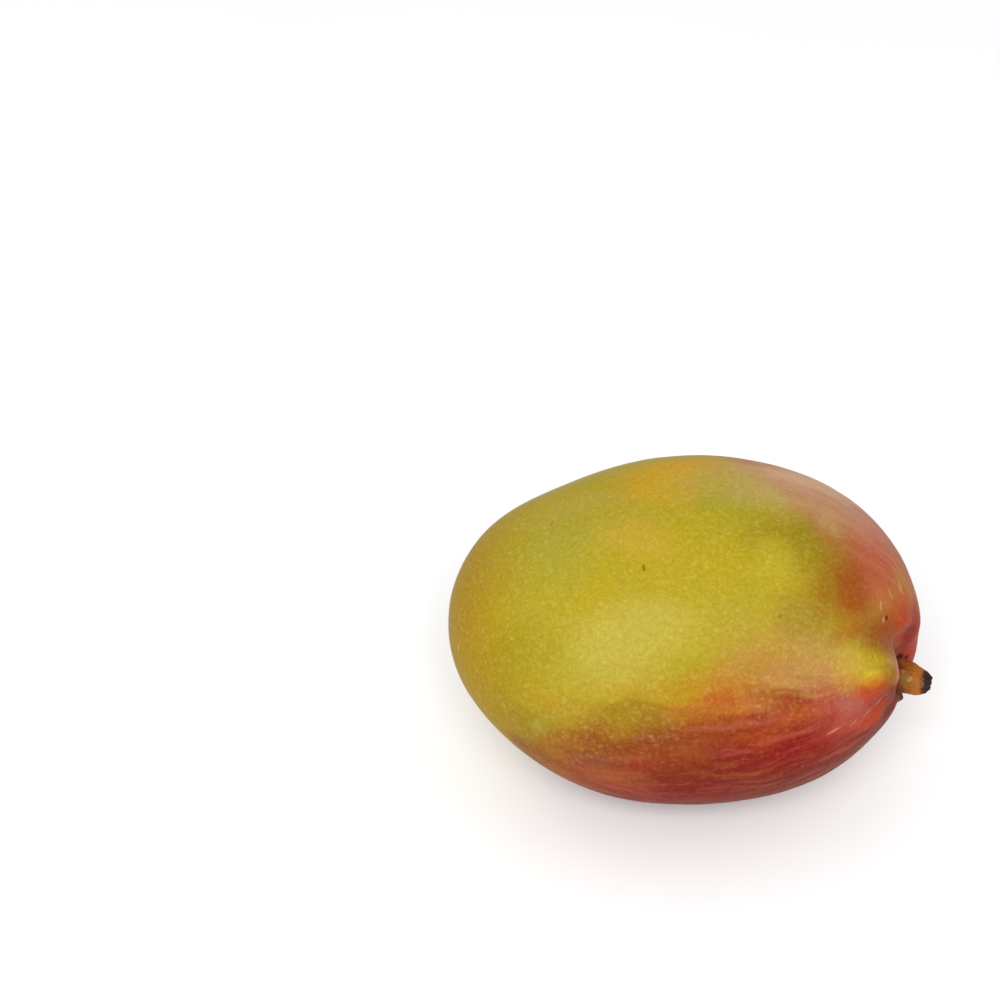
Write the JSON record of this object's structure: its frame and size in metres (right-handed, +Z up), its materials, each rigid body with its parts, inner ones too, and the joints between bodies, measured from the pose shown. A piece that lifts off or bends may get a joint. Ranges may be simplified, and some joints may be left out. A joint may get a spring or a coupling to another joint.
{
  "type": "mango",
  "caption": "Whole ripe mango with yellow-green skin and a red blush, lying on a cheek, with a ridge and a hollow round the short stub of its stalk.",
  "frame": {"origin": "bottom centre of the bounding box, on the surface that the fruit lies on", "axes": "+X along the fruit from the blossom end to the stalk end, +Z up through the two cheeks, -Y towards the belly edge, which the picture was taken from"},
  "size_m": [0.1256, 0.1006, 0.0874],
  "materials": {
    "skin": "satin",
    "stalk": "matte"
  },
  "bodies": {
    "root": {"fruit": "skin", "stalk": "stalk"}
  },
  "joints": []
}
